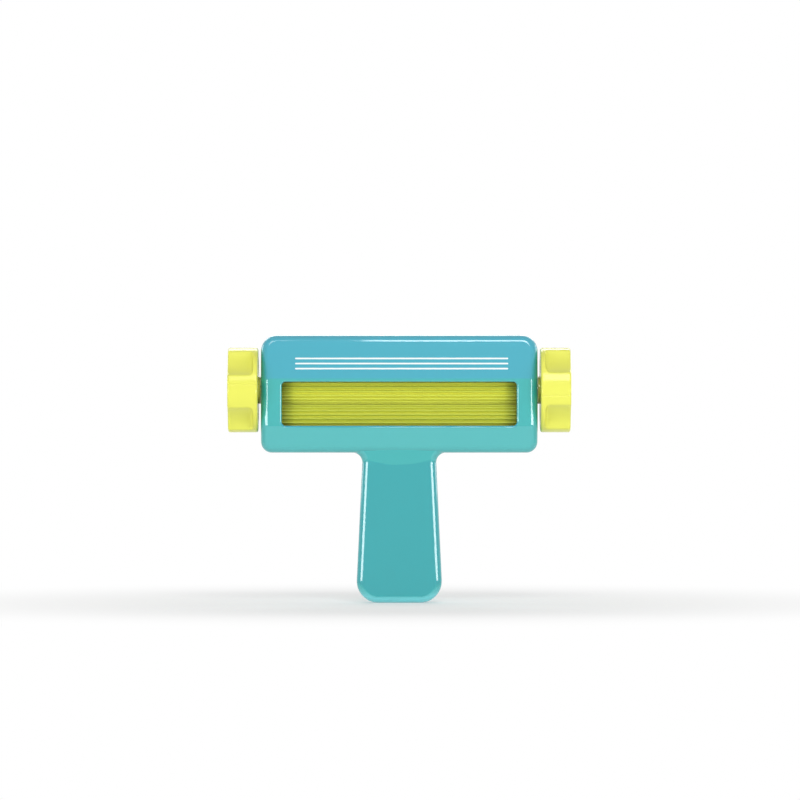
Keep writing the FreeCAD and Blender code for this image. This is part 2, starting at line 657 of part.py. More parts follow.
# ================================================================ screws
def pan_head_screw(shank_radius, head_radius, length):
    """A screw along +X with its head's underside at X = 0 and a cross slot in the head."""
    shank = rod(shank_radius, -length, SCREW_HEAD_HEIGHT / 2, 0)
    head = rod(head_radius, 0, SCREW_HEAD_HEIGHT, 0)
    rings = [edge for edge in head.Edges if edge.Closed]
    top = [edge for edge in rings if edge.CenterOfMass.x > SCREW_HEAD_HEIGHT - TOUCH]
    head = head.makeFillet(SCREW_HEAD_HEIGHT / 2, top)
    reach = head_radius * CROSS_REACH
    floor = SCREW_HEAD_HEIGHT - CROSS_DEPTH
    half = CROSS_SLOT / 2
    upright = box(floor, floor + HEAD_DEPTH, -half, half, -reach, reach)
    level = box(floor, floor + HEAD_DEPTH, -reach, reach, -half, half)
    return head.fuse(shank).removeSplitter().cut([upright, level])


def knob_screw():
    screw = pan_head_screw(KNOB_SCREW_RADIUS, KNOB_SCREW_HEAD, KNOB_SCREW_LENGTH)
    screw.translate(vec(WELL_X + WASHER_THICKNESS, 0, DRIVE_Z))
    return screw


def knob_washer():
    washer = rod(WASHER_RADIUS, WELL_X, WELL_X + WASHER_THICKNESS, DRIVE_Z)
    return washer.cut(rod(KNOB_SCREW_RADIUS + SLIDE_FIT, KNOB_IN, KNOB_OUT, DRIVE_Z))


def body_screw(x, z):
    """A screw driven in from the back: its head sits in the back shell's counterbore."""
    screw = pan_head_screw(BODY_SCREW_RADIUS, BODY_SCREW_HEAD, BODY_SCREW_SEAT + BODY_SCREW_REACH)
    screw.rotate(vec(0, 0, 0), vec(0, 0, 1), 90)
    screw.translate(vec(x, BODY_SCREW_SEAT, z))
    return screw


# ================================================================ the whole crimper
def left_copy(shape):
    return shape.mirror(vec(0, 0, 0), OUTWARD)


def turned_end_for_end(shape):
    """The same piece fitted at the other end, turned half round the upright axis."""
    turned = shape.copy()
    turned.rotate(vec(0, 0, 0), vec(0, 0, 1), 180)
    return turned


def both_sides(shape):
    """The right-hand piece and its mirror image, as two solids in one group."""
    return Part.makeCompound([shape, left_copy(shape)])


def nodes():
    front_shell, back_shell = shells()
    drive_crest = math.radians(180 + CREST_BELOW_FRONT)
    right_knob = knob()
    pieces = {
        "front_shell": front_shell,
        "back_shell": back_shell,
        "drive_roller": roller(DRIVE_Z, DRIVE_SHAFT_RADIUS, drive_crest),
        "idler_roller": roller(IDLER_Z, IDLER_SHAFT_RADIUS, meshing_crest(drive_crest)),
        "drive_shaft": drive_shaft(),
        "idler_shaft": idler_shaft(),
        "knob_screws": both_sides(knob_screw()),
        "knob_washers": both_sides(knob_washer()),
        "right_knob": right_knob,
        "left_knob": turned_end_for_end(right_knob),
    }
    paired = {
        "knob_cap": knob_cap(),
        "side_frame": side_frame(),
        "drive_bush": drive_bush(),
        "idler_block": idler_block(),
        "spring_seat": spring_seat(),
        "pressure_spring": pressure_spring(),
    }
    for name, right in paired.items():
        pieces["right_" + name] = right
        pieces["left_" + name] = left_copy(right)
    for name, places in zip(("head_screws", "handle_screws"), screw_places()):
        pieces[name] = Part.makeCompound([body_screw(x, z) for x, z in places])
    return pieces


os.makedirs("parts", exist_ok=True)
for name, shape in nodes().items():
    shape.exportStep("parts/" + name + ".step")
    print(name, len(shape.Solids), "solid(s)", round(shape.Volume / 1000, 2), "cm3")
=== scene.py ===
# %% [markdown]
# # Dressing a paper crimper
#
# A paper crimper is a hand tool for making cards. Paper goes in through the window in its head, passes
# between two fluted rollers that mesh like gears, and comes out at the back with a wavy surface.
#
# The solids of the tool come ready made from a CAD program, and every one of them already lies where it
# belongs. This lesson gives them their surfaces: glossy moulded plastic, satin rollers, a printed decoration
# and bright steel. It rebuilds the few pieces whose round edges need more care than a CAD mesh gives them,
# and then sets up a floor, the lamps and a camera. Blender measures in metres, so a millimetre is written
# as 0.001.

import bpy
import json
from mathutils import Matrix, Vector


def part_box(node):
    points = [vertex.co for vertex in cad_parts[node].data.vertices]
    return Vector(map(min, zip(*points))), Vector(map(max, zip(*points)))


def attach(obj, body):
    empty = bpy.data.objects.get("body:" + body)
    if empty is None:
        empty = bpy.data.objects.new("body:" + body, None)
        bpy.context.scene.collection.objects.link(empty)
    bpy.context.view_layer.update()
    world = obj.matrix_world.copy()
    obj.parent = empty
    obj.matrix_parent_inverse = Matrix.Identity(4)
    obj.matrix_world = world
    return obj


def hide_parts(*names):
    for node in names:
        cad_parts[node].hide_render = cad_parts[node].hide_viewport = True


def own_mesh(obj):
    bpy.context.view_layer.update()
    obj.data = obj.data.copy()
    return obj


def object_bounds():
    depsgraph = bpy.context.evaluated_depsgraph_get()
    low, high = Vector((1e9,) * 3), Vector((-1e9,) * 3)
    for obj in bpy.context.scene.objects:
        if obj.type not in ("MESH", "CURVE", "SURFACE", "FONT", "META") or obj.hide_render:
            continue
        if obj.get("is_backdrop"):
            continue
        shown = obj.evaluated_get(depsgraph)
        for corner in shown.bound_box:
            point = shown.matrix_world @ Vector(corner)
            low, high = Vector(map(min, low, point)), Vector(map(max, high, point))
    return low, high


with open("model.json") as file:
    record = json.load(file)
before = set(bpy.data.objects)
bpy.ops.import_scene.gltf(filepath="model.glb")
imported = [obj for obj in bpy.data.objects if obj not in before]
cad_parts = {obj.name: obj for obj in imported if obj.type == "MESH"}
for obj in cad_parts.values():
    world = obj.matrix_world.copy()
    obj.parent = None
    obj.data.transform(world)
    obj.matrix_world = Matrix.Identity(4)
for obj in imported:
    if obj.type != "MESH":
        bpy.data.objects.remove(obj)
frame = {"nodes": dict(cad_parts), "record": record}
solid_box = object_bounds()

# %% Tools for the lesson
import json
import math

import bmesh
import bpy
from mathutils import Matrix, Vector
from mathutils.bvhtree import BVHTree

MM = 0.001
size = solid_box[1] - solid_box[0]
print("size in millimetres:", [round(side / MM, 1) for side in size])

# %% [markdown]
# ## Writing materials as sums
#
# A Blender material is a net of nodes. Wiring one by hand takes a line for each node and one for each link,
# and the idea gets lost in the wires. Here a `Flow` stands for whatever comes out of a socket. Flows can be
# added, subtracted and multiplied with ordinary Python signs, and each sign adds the right node: Math for
# numbers, Vector Math for vectors. Colours are blended with a Mix node, because a Math node would turn them
# grey.

# %% A value that flows between nodes
class Flow:
    """What comes out of one socket: a number, a vector, a colour or a shader."""

    def __init__(self, finish, socket):
        self.finish = finish
        self.socket = socket

    def reckon(self, operation, first, second):
        kind = "ShaderNodeVectorMath" if self.socket.type == "VECTOR" else "ShaderNodeMath"
        return self.finish.node(kind, {"operation": operation}, {0: first, 1: second})

    def __add__(self, other):
        return self.reckon("ADD", self, other)

    def __sub__(self, other):
        return self.reckon("SUBTRACT", self, other)

    def __rsub__(self, other):
        return self.reckon("SUBTRACT", other, self)

    def __mul__(self, other):
        return self.reckon("MULTIPLY", self, other)

    __radd__ = __add__
    __rmul__ = __mul__


print("a flow's methods:", [name for name in vars(Flow) if callable(getattr(Flow, name))])

# %% [markdown]
# ## One way to add any node
#
# Every other node comes from one method. It takes the node's type, then its settings, which have to be made
# first because some of them change the sockets, and then what goes into each socket: a plain value, or a
# flow. To see what a helper turns into, it is tried out on a material that is then thrown away.

# %% A material under construction
def socket_named(sockets, name):
    """A socket by its place in the list, its identifier or its label."""
    if isinstance(name, int):
        return sockets[name]
    for socket in sockets:
        if socket.identifier == name:
            return socket
    return sockets[name]


class Finish:
    """A material, or a world, whose nodes are added one call at a time."""

    def __init__(self, name, kind="materials"):
        self.material = getattr(bpy.data, kind).new(name)
        self.material.use_nodes = True
        self.tree = self.material.node_tree
        self.tree.nodes.clear()

    def node(self, kind, settings=None, sockets=None, output=0):
        made = self.tree.nodes.new(kind)
        for name, value in (settings or {}).items():
            setattr(made, name, value)
        for name, value in (sockets or {}).items():
            target = socket_named(made.inputs, name)
            if isinstance(value, Flow):
                self.tree.links.new(value.socket, target)
            else:
                target.default_value = value
        if not len(made.outputs):
            return None
        return Flow(self, socket_named(made.outputs, output))


def try_out(label, helper):
    """Prints what a helper gives and how many nodes it takes, and leaves nothing behind."""
    trial = Finish("trial")
    made = helper(trial)
    print(label, "gives a", made.socket.type, "from", len(trial.tree.nodes), "nodes")
    bpy.data.materials.remove(trial.material)


try_out("1 - 0.5 * noise", lambda finish: 1 - 0.5 * finish.node("ShaderNodeTexNoise"))

# %% [markdown]
# ## Colours
#
# A colour picked on a screen is stored in a curved scale, while light adds up in a straight one. Shaders
# want the straight one, so each colour is written as it looks on a screen and then converted.

# %% Screen colours for shaders
def screen(red, green, blue):
    """A colour from 0 to 255, as a screen shows it, taken through the standard curve of screens."""
    straight = []
    for level in (red, green, blue):
        share = level / 255
        straight.append(share / 12.92 if share <= 0.04045 else ((share + 0.055) / 1.055) ** 2.4)
    return (*straight, 1.0)


TURQUOISE = screen(58, 177, 176)
DEEP_TURQUOISE = screen(52, 171, 173)
# Painted light: a bluer tone for faces that lean back, for the cool light from above.
SKYLIGHT_PAINTED_TURQUOISE = screen(56, 166, 187)
# Painted sheen: a paler tone for faces that hang over, for light from below mirrored in the gloss.
SHEEN_PAINTED_TURQUOISE = screen(76, 181, 182)
# Painted shade: a darker tone for the grip, which gets less light than the head.
GRIP_SHADE_PAINTED_TURQUOISE = screen(40, 162, 168)
# Painted reflection: a pale tone along the foot's downward edge, for light mirrored from the floor.
FOOT_GLEAM_PAINTED_TURQUOISE = screen(112, 211, 217)
# Painted light: one lime in two copies, lighter for the upper roller and darker for the lower one.
PAINTED_LIT_DRIVE_LIME = screen(211, 219, 76)
PAINTED_SHADE_IDLER_LIME = screen(192, 202, 67)
# Painted shade: a darker lime for the roller ends, which the ends of the window shade.
END_SHADE_PAINTED_LIME = screen(138, 146, 38)
LEMON = screen(238, 239, 106)
DEEP_LEMON = screen(229, 230, 92)
STEEL = screen(205, 206, 208)
DULL_STEEL = screen(184, 186, 190)
BEARING_WHITE = screen(226, 225, 218)
DEEP_BEARING_WHITE = screen(214, 213, 204)
INK_WHITE = screen(240, 246, 248)
THIN_INK_WHITE = screen(222, 238, 241)
WHITE = (1.0, 1.0, 1.0, 1.0)
PAPER_WHITE = (0.9, 0.9, 0.9, 1.0)
print("turquoise in straight light:", [round(level, 3) for level in TURQUOISE[:3]])

# %% [markdown]
# ## Small helpers that most finishes share
#
# Moulded plastic is never one flat colour. The melt cools in slow clouds of slightly different tone, and its
# skin carries a very fine unevenness, which is what breaks up a reflection. Both are noise, at two very
# different scales. The coordinates are those of the object itself, so a pattern stays on its piece when the
# piece turns.

# %% Noise, mixing and bump
def own_place(finish):
    """Where a point lies, in its own object's coordinates."""
    return finish.node("ShaderNodeTexCoord", output="Object")


def clouds(finish, per_metre, detail=3.0, stretch=None):
    """Noise from 0 to 1. A stretch draws it out along an axis: a smaller number gives longer streaks."""
    place = own_place(finish)
    if stretch:
        place = place * stretch
    return finish.node("ShaderNodeTexNoise", {}, {"Vector": place, "Scale": per_metre, "Detail": detail})


def blended(finish, share, first, second):
    """A colour between two colours: share 0 gives the first, share 1 the second."""
    sockets = {"Factor_Float": share, "A_Color": first, "B_Color": second}
    return finish.node("ShaderNodeMix", {"data_type": "RGBA"}, sockets, "Result_Color")


def uneven(finish, height, depth):
    """A surface normal that follows a height from 0 to 1, over a depth in metres."""
    return finish.node("ShaderNodeBump", {}, {"Height": height, "Distance": depth, "Strength": 1.0})


try_out("a bump of clouds", lambda finish: uneven(finish, clouds(finish, per_metre=700.0), depth=0.003 * MM))

# %% [markdown]
# ## Masks from shape and place
#
# A mask is a number from 0 to 1 that says where a tone lies. It can be painted by hand, but a painted mask
# belongs to one mesh and goes soft close up. These masks are worked out from what the surface is at each
# point: which way it looks, how high up it lies, and how far it is from an axis.

# %% Ramps over directions, heights and distances
UP = (0.0, 0.0, 1.0)
ALONG = (1.0, 0.0, 0.0)
ACROSS = (0.0, 1.0, 1.0)


def ramp(finish, value, span):
    """0 where a value is at the start of a span, 1 where it is at its end, and straight in between."""
    start, end = span
    return finish.node("ShaderNodeMapRange", {}, {"Value": value, "From Min": start, "From Max": end})


def upward_part(finish, vector):
    return finish.node("ShaderNodeVectorMath", {"operation": "DOT_PRODUCT"}, {0: vector, 1: UP}, "Value")


def length_of(finish, vector):
    return finish.node("ShaderNodeVectorMath", {"operation": "LENGTH"}, {0: vector}, "Value")


def leaning(finish, span):
    """A ramp over how a face leans: -1 looks at the floor, 0 is upright and 1 looks at the ceiling."""
    normal = finish.node("ShaderNodeTexCoord", output="Normal")
    return ramp(finish, upward_part(finish, normal), span)


def at_height(finish, span):
    return ramp(finish, upward_part(finish, own_place(finish)), span)


try_out("a mask from 76 to 80 mm up", lambda finish: at_height(finish, (76.0 * MM, 80.0 * MM)))

# %% [markdown]
# ## Glossy moulded plastic
#
# The body and the knobs are injection moulded in a polished steel mould, so they come out with a hard gloss.
# One way is a plain shader with low roughness. A clear coat over a slightly softer base is nearer to the
# real thing: the base keeps a broad sheen and the coat gives the narrow bright lines along the rounded
# edges. Handling leaves faint smears that dull the gloss here and there.
#
# The body has four more tones laid over its plain turquoise, each by a mask, and all four are painted
# light. Where it leans back, above the window, it is painted bluer, for the cool light from above, and
# where it hangs over, below it, it is painted paler, as a painted sheen. The grip is painted darker, as
# painted shade, and the downward edge of its foot is painted pale, as a painted reflection of the floor.

# %% The tones of the shell
# Painted light: faces leaning back over this span take the bluer tone of light from above.
SKYLIGHT_PAINTED_LEAN = (0.06, 0.16)
# Painted sheen: faces leaning down over this span take the paler tone.
SHEEN_PAINTED_LEAN = (-0.135, -0.165)
GRIP_SHADE_LEAN = (-0.10, -0.04)
GRIP_SHADE_HEIGHT = (80.0 * MM, 76.0 * MM)
FOOT_GLEAM_LEAN = (-0.02, -0.45)
FOOT_GLEAM_HEIGHT = (9.0 * MM, 4.0 * MM)


def shell_tones(finish, plain):
    # Painted shade on the grip, below the head.
    grip = leaning(finish, GRIP_SHADE_LEAN) * at_height(finish, GRIP_SHADE_HEIGHT)
    # Painted reflection along the downward edge of the foot.
    foot = leaning(finish, FOOT_GLEAM_LEAN) * at_height(finish, FOOT_GLEAM_HEIGHT)
    tones = (
        (leaning(finish, SKYLIGHT_PAINTED_LEAN), SKYLIGHT_PAINTED_TURQUOISE),
        (leaning(finish, SHEEN_PAINTED_LEAN), SHEEN_PAINTED_TURQUOISE),
        (grip, GRIP_SHADE_PAINTED_TURQUOISE),
        (foot, FOOT_GLEAM_PAINTED_TURQUOISE),
    )
    for mask, tone in tones:
        plain = blended(finish, mask, plain, tone)
    return plain


try_out("a shell with all its tones", lambda finish: shell_tones(finish, TURQUOISE))

# %% A recipe for glossy mouldings
def surface(finish, **looks):
    """Puts the main shader at the end of a finish. Underscores in a name stand for spaces."""
    sockets = {name.replace("_", " "): value for name, value in looks.items()}
    skin = finish.node("ShaderNodeBsdfPrincipled", {}, sockets)
    finish.node("ShaderNodeOutputMaterial", {}, {"Surface": skin})
    print("finish:", finish.material.name, "with", len(finish.tree.nodes), "nodes")
    return finish.material


def glossy_moulding(name, colour, deeper, coat, coat_index, tones=None):
    """Polished plastic. Tones is a function that lays more colours over the plain one."""
    finish = Finish(name)
    melt = clouds(finish, per_metre=22.0)
    smears = clouds(finish, per_metre=60.0, detail=4.0, stretch=(1.0, 1.0, 0.35))
    skin = clouds(finish, per_metre=700.0, detail=2.0)
    plain = blended(finish, melt, colour, deeper)
    return surface(
        finish,
        Base_Color=tones(finish, plain) if tones else plain,
        Roughness=0.24 + 0.12 * smears,
        Specular_IOR_Level=0.08,
        Coat_Weight=coat - 0.1 * smears,
        Coat_Roughness=0.04,
        Coat_IOR=coat_index,
        Normal=uneven(finish, skin, depth=0.003 * MM),
    )


shell_plastic = glossy_moulding(
    "turquoise_shell_plastic", TURQUOISE, DEEP_TURQUOISE, coat=1.0, coat_index=1.62, tones=shell_tones
)
knob_plastic = glossy_moulding("lemon_knob_plastic", LEMON, DEEP_LEMON, coat=0.45, coat_index=1.5)
cap_plastic = glossy_moulding("lemon_cap_plastic", LEMON, DEEP_LEMON, coat=0.45, coat_index=1.5)

# %% [markdown]
# ## Satin roller plastic
#
# The rollers are long mouldings whose crests run against paper, which polishes them: they are a little
# smoother than the valleys between them. The valleys are painted a little warmer and darker than the
# crests, as a slight painted shade between the flutes. How high a point lies on a flute is its distance
# from the roller's own axis, and that gives the mask. Long streaks run the length of the roller, where the
# plastic flowed along the mould. The two ends are painted darker, as painted shade where the ends of the
# window shade them, and the upper roller is painted in a lighter lime than the lower one, as painted light.

# %% A recipe for fluted rollers
# Painted shade: the valleys are a little warmer and darker than the crests.
VALLEY_SHADE_TINT = (1.04, 0.95, 0.75, 1.0)
FLUTE_DEPTH = 1.4 * MM
# Painted shade: over this span the roller ends are painted darker.
SHADED_END_SPAN = (57.0 * MM, 64.5 * MM)


def fluted_satin(name, lime, height, crest):
    """Satin plastic for a roller whose axis lies along X at a height, and whose crests have a radius."""
    finish = Finish(name)
    across = (own_place(finish) - (0.0, 0.0, height)) * ACROSS
    on_crest = ramp(finish, length_of(finish, across), (crest - FLUTE_DEPTH, crest))
    # Painted shade towards the two ends of the roller.
    painted_end_shade = ramp(finish, length_of(finish, own_place(finish) * ALONG), SHADED_END_SPAN)
    streaks = clouds(finish, per_metre=500.0, detail=2.0, stretch=(0.02, 1.0, 1.0))
    grain = clouds(finish, per_metre=1200.0, detail=2.0)
    shaded_valley_lime = [level * warmth for level, warmth in zip(lime, VALLEY_SHADE_TINT)]
    # Painted shade: the crest mask blends from the darker valley tone up to the plain lime.
    fluted = blended(finish, on_crest * 0.8 + 0.2 * streaks, shaded_valley_lime, lime)
    return surface(
        finish,
        Base_Color=blended(finish, painted_end_shade, fluted, END_SHADE_PAINTED_LIME),
        Roughness=0.5 - 0.14 * on_crest + 0.08 * streaks,
        Normal=uneven(finish, grain, depth=0.008 * MM),
    )


# Painted shade: the second number is where the painted darkening of the ends begins.
print("flutes are", FLUTE_DEPTH / MM, "mm deep, and paper reaches", SHADED_END_SPAN[0] / MM, "mm out")

# %% One finish for each roller
def roller_radius(node):
    low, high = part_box(node)
    return (high.y - low.y) / 2


def axis_height(node):
    low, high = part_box(node)
    return (high.z + low.z) / 2


crest_radius = roller_radius("drive_roller")
print("the drive roller measures", round(2 * crest_radius / MM, 1), "mm from front to back")
roller_finishes = {}
# Painted light: the upper roller takes the lighter lime and the lower one the darker.
for node, lime in (("drive_roller", PAINTED_LIT_DRIVE_LIME), ("idler_roller", PAINTED_SHADE_IDLER_LIME)):
    roller_finishes[node] = fluted_satin(node + "_satin", lime, axis_height(node), crest_radius)
    print(node, "turns about a line", round(axis_height(node) / MM, 1), "mm up")

# %% [markdown]
# ## Steel, bearing plastic and print
#
# The shafts and screws are plain bright steel, drawn or rolled, with fine lines that catch the light. The
# bearings are a natural white nylon-like plastic that is slightly waxy. The decoration on the head is white
# ink, laid on after moulding: it is flatter than the plastic under it.

# %% Steel
def drawn_steel(name, stretch):
    """Bright steel, whose fine lines run along the axis with the smallest stretch."""
    finish = Finish(name)
    lines = clouds(finish, per_metre=1400.0, stretch=stretch)
    stains = clouds(finish, per_metre=90.0)
    return surface(
        finish,
        Base_Color=blended(finish, stains, STEEL, DULL_STEEL),
        Metallic=1.0,
        Roughness=0.22 + 0.2 * lines,
        Normal=uneven(finish, lines, depth=0.006 * MM),
    )


shaft_steel = drawn_steel("drawn_shaft_steel", stretch=(0.05, 1.0, 1.0))
screw_steel = drawn_steel("bright_screw_steel", stretch=(1.0, 0.2, 1.0))
spring_steel = drawn_steel("spring_wire_steel", stretch=(1.0, 1.0, 0.4))

# %% Bearing plastic and white ink
def waxy_white(name):
    finish = Finish(name)
    tone = clouds(finish, per_metre=120.0)
    grain = clouds(finish, per_metre=900.0, detail=2.0)
    return surface(
        finish,
        Base_Color=blended(finish, tone, BEARING_WHITE, DEEP_BEARING_WHITE),
        Roughness=0.44 + 0.14 * grain,
        Normal=uneven(finish, grain, depth=0.012 * MM),
    )


def white_ink(name):
    finish = Finish(name)
    coverage = clouds(finish, per_metre=420.0, detail=4.0)
    return surface(
        finish,
        Base_Color=blended(finish, coverage, INK_WHITE, THIN_INK_WHITE),
        Roughness=0.34 + 0.12 * coverage,
    )


bearing_plastic = waxy_white("white_bearing_plastic")
stripe_ink = white_ink("white_stripe_ink")

# %% [markdown]
# ## Rounded faces that look round
#
# A mesh from a CAD program is made of flat triangles, and each rounded edge shows its flats in a reflection.
# Adding triangles is one cure. A lighter one is to leave the triangles alone and bend the light: within an
# angle that only a rounded edge has, the shading runs smoothly from face to face, and at a real corner it
# stays sharp. Weighting the shading by the size of the faces keeps the big faces flat.
#
# This is done on a new piece that takes the solid's place. It rides on the body that the solid rides on, so
# that it moves as the solid would.

# %% From a shape to an object
def linked_object(name, shape):
    """Turns a bmesh into an object in the scene."""
    mesh = bpy.data.meshes.new(name)
    shape.to_mesh(mesh)
    shape.free()
    made = bpy.data.objects.new(name, mesh)
    bpy.context.scene.collection.objects.link(made)
    return made


def new_piece(name, shape, finish, body):
    """Turns a bmesh into an object that rides on one of the tool's bodies."""
    piece = linked_object(name, shape)
    piece.data.materials.append(finish)
    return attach(piece, body)


# %% Smooth shading
SHARP_ANGLE = math.radians(28)
FACE_WEIGHT = 80


def shade_round(shape):
    """Smooth over rounded edges, sharp at corners."""
    for face in shape.faces:
        face.smooth = True
        face.material_index = 0
    for edge in shape.edges:
        edge.smooth = edge.is_manifold and edge.calc_face_angle() < SHARP_ANGLE


def even_shading(piece):
    """Drops the shading that came with a CAD mesh, and weights the new one by the size of the faces."""
    if "custom_normal" in piece.data.attributes:
        piece.data.attributes.remove(piece.data.attributes["custom_normal"])
    weighted = piece.modifiers.new("even_shading", "WEIGHTED_NORMAL")
    weighted.keep_sharp = True
    weighted.weight = FACE_WEIGHT


print("a corner is sharp from", round(math.degrees(SHARP_ANGLE)), "degrees")


def body_of_node(node):
    for body, members in frame["record"]["behaviour"]["bodies"].items():
        if node in members:
            return body
    raise KeyError(node)


def stand_in(node, name, shape, finish):
    shade_round(shape)
    piece = new_piece(name, shape, finish, body_of_node(node))
    even_shading(piece)
    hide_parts(node)
    print(name, "has", len(piece.data.polygons), "faces and rides on", body_of_node(node))
    return piece


# %% A smoothly shaded copy of a solid
SAME_POINT = 0.001 * MM
SAME_PLANE = math.radians(0.3)


def dressed_copy(node, finish):
    shape = bmesh.new()
    shape.from_mesh(frame["nodes"][node].data)
    bmesh.ops.remove_doubles(shape, verts=shape.verts, dist=SAME_POINT)
    bmesh.ops.dissolve_limit(shape, angle_limit=SAME_PLANE, verts=shape.verts, edges=shape.edges)
    return stand_in(node, node + "_dressed", shape, finish)


front_shell = dressed_copy("front_shell", shell_plastic)
dressed_copy("back_shell", shell_plastic)
for node, finish in roller_finishes.items():
    dressed_copy(node, finish)

# %% Dress the working parts
for node in ("drive_shaft", "idler_shaft"):
    dressed_copy(node, shaft_steel)
for node in ("head_screws", "handle_screws", "knob_screws", "knob_washers"):
    dressed_copy(node, screw_steel)
for side in ("left_", "right_"):
    for node in ("side_frame", "drive_bush", "idler_block", "spring_seat"):
        dressed_copy(side + node, bearing_plastic)

# %% [markdown]
# ## The springs
#
# Two springs press the lower roller into the upper one, and give way by less than a millimetre when thick
# paper goes through. They are the only pieces whose shape changes as the tool works, and all that happens
# is that a spring gets shorter: its foot stays on its seat, and its head follows the block above it. A
# shape key could show that, but here each spring only gets a smoothly shaded copy with a mesh of its own.

# %% Springs with meshes of their own
def shortening_springs(joint):
    for row in joint["deforming_nodes"]:
        spring = dressed_copy(row["node"], spring_steel)
        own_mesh(spring)


for joint in frame["record"]["behaviour"]["joints"]:
    if "deforming_nodes" in joint:
        shortening_springs(joint)

# %% [markdown]
# ## The lobed knobs
#
# Each knob is a wheel with four scoops taken out of its rim, which leaves four lobes to push with a thumb.
# The scoops stop before the side that faces the head, so a narrow flange runs round there unbroken. A scoop
# could be cut with a Boolean, but that leaves a razor edge that no moulder makes. Here the radius of the
# knob is worked out for each angle and each place along its width, as the smaller of two numbers, the
# wheel's radius and the scoop's floor, and a soft minimum rounds the crest where the two meet.

# %% Sizes of a knob
KNOB_RADIUS = 22.99 * MM
OUT_OF_REACH = 2 * KNOB_RADIUS
HUB_LENGTH = 1.3 * MM
LOBES = 4
LOBE_STEP = 2 * math.pi / LOBES
LOBE_HALF = math.radians(22.5)
FRONT_LOBE = math.pi - math.radians(2)
FLANGE = 2.4 * MM
SCOOP_DEPTH = 2.0 * MM
SCOOP_END = 2.5 * MM
CREST_BLEND = 0.6 * MM
half_chord = KNOB_RADIUS * math.sin(LOBE_STEP / 2 - LOBE_HALF)
SCOOP_RADIUS = (half_chord**2 + SCOOP_DEPTH**2) / (2 * SCOOP_DEPTH)
SCOOP_CENTRE = KNOB_RADIUS * math.cos(LOBE_STEP / 2 - LOBE_HALF) - SCOOP_DEPTH + SCOOP_RADIUS
print("a scoop is part of a barrel of radius", round(SCOOP_RADIUS / MM, 1), "mm")

# %% The radius at each angle and place
def barrel_at(along):
    """The barrel's radius, which swells from its rounded end behind the flange."""
    short = SCOOP_END - (along - FLANGE)
    if short <= 0:
        return SCOOP_RADIUS
    return SCOOP_RADIUS - SCOOP_END + math.sqrt(max(SCOOP_END**2 - short**2, 0.0))


def scoop_floor(turn, along):
    """How far from the axis a scoop's floor lies, and out of reach where there is no scoop."""
    off = abs(turn % LOBE_STEP - LOBE_STEP / 2)
    beyond = barrel_at(along) ** 2 - (SCOOP_CENTRE * math.sin(off)) ** 2
    if along < FLANGE or beyond <= 0:
        return OUT_OF_REACH
    return SCOOP_CENTRE * math.cos(off) - math.sqrt(beyond)


def soft_minimum(first, second):
    """The smaller of two numbers, eased where they are nearly equal."""
    share = min(max(0.5 + 0.5 * (second - first) / CREST_BLEND, 0.0), 1.0)
    return second + (first - second) * share - CREST_BLEND * share * (1 - share)


full_scoop = FLANGE + SCOOP_END
print("floor of a scoop:", round(scoop_floor(LOBE_STEP / 2, full_scoop) / MM, 2), "mm from the axis")

# %% [markdown]
# ## Rims and parting lines
#
# The mould that makes such scoops has four side cores, which slide out sideways and meet on the lobes. Where
# two cores meet, a fine line stays on the plastic. It is one point of each ring, drawn in by a fifth of a
# millimetre.

# %% One ring of a knob
AROUND = 360
RIM_STEPS = 5
LINE_TURN = 10
LINE_DEPTH = 0.2 * MM


def knob_points(along, depth):
    """Points (y, z) round the knob at a place along its width, drawn in by a depth at a rim."""
    points = []
    for index in range(AROUND):
        turn = 2 * math.pi * index / AROUND
        radius = soft_minimum(KNOB_RADIUS, scoop_floor(turn, along)) - depth
        if (index - LINE_TURN) % (AROUND // LOBES) == 0:
            radius -= LINE_DEPTH
        angle = FRONT_LOBE + turn
        points.append(Vector((radius * math.cos(angle), radius * math.sin(angle))))
    return points


def round_points(radius):
    turns = [FRONT_LOBE + 2 * math.pi * index / AROUND for index in range(AROUND)]
    return [Vector((radius * math.cos(turn), radius * math.sin(turn))) for turn in turns]


def quarter_round(radius):
    """(how far along, how far drawn in) pairs of a rounded rim, from its end face to its side."""
    turns = [math.pi / 2 * index / RIM_STEPS for index in range(RIM_STEPS + 1)]
    return [(radius * (1 - math.cos(turn)), radius * (1 - math.sin(turn))) for turn in turns]


print("a ring has", len(knob_points(full_scoop, 0.0)), "points")

# %% Where the rings go
INNER_RIM = 1.2 * MM
OUTER_RIM = 1.0 * MM
FLANGE_RINGS = (1.7 * MM, 2.1 * MM, 2.38 * MM)
SCOOP_RINGS = 8


def reach_along_x(node):
    """How far from the middle of the tool a piece at one end starts and stops."""
    low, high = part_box(node)
    return sorted((abs(low.x), abs(high.x)))


def stations(width):
    """(place along the width, how far drawn in) for each ring, from the flange outwards."""
    inner = quarter_round(INNER_RIM)
    turns = [math.pi / 2 * index / SCOOP_RINGS for index in range(SCOOP_RINGS + 1)]
    swell = [FLANGE + SCOOP_END * (1 - math.cos(turn)) for turn in turns]
    start = swell[-1]
    straight = [start + (width - OUTER_RIM - start) * index / SCOOP_RINGS for index in range(1, SCOOP_RINGS)]
    side = [(along, 0.0) for along in (*FLANGE_RINGS, *swell, *straight)]
    outer = [(width - along, depth) for along, depth in reversed(quarter_round(OUTER_RIM))]
    return inner + side + outer


hub_end, outer_end = reach_along_x("right_knob")
print("rings across a knob:", len(stations(outer_end - hub_end - HUB_LENGTH)))

# %% Build one knob
HUB_RADIUS = 7.5 * MM
RECESS_RADIUS = 13.1 * MM
RECESS_DEPTH = 2.3 * MM
RECESS_CHAMFER = 0.25 * MM


def ring_of(shape, x, points, height):
    return [shape.verts.new((x, point.x, height + point.y)) for point in points]


